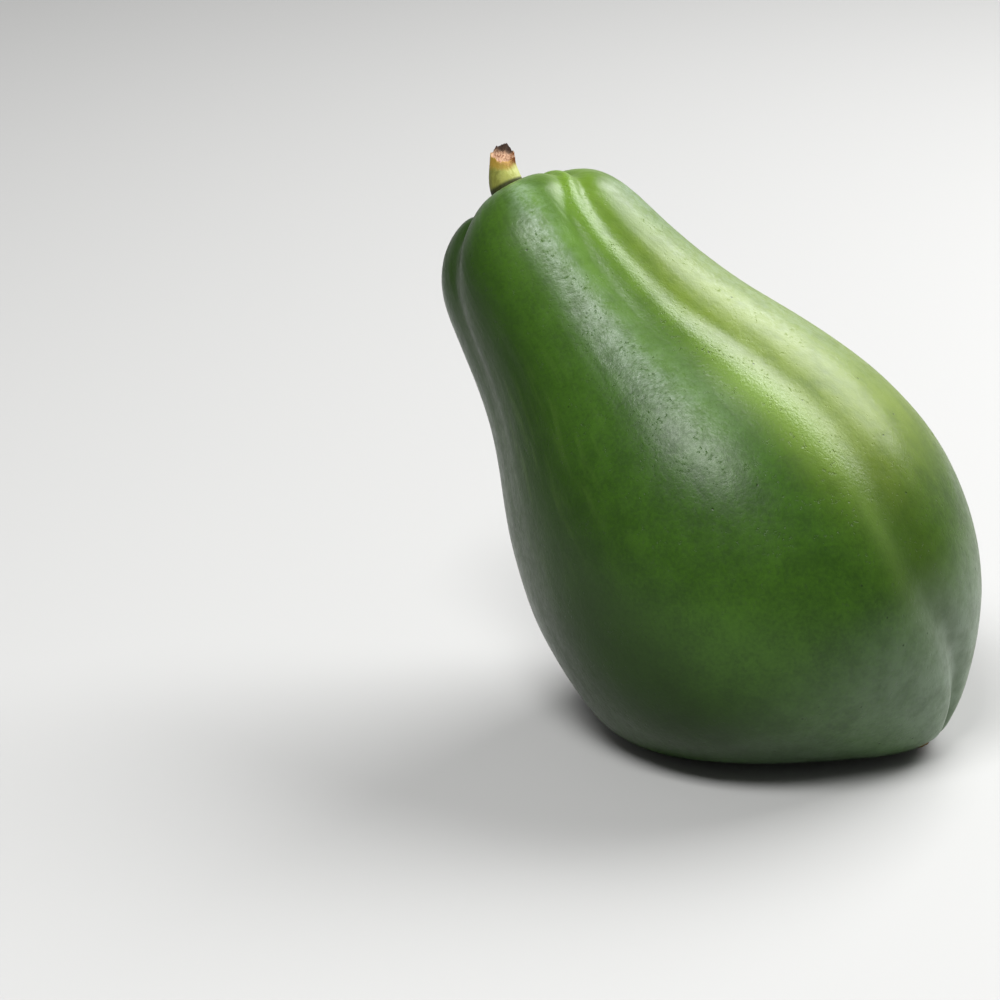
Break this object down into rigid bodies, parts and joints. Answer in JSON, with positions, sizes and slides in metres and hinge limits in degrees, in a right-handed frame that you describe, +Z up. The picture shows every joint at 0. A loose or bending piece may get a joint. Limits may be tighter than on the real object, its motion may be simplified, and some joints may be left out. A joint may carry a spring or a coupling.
{
  "type": "papaya",
  "caption": "Whole green papaya: a pear-shaped fruit with shallow lengthwise lobes and a broken stem stub in its hollow, standing on a small flat spot beside the blossom end.",
  "frame": {"origin": "centre of the overall box, on the ground plane that the fruit rests on", "axes": "+Z up; -Y towards the side seen in the picture; the stem end leans towards -X and the blossom end is low on the +X side"},
  "size_m": [0.156, 0.131, 0.1613],
  "materials": {
    "skin": "waxy green fruit skin with a soft gloss and a thin grey bloom",
    "stem": "olive green bark with a torn tan and dark brown end"
  },
  "bodies": {
    "root": {"fruit": "skin", "stem": "stem"}
  },
  "joints": []
}
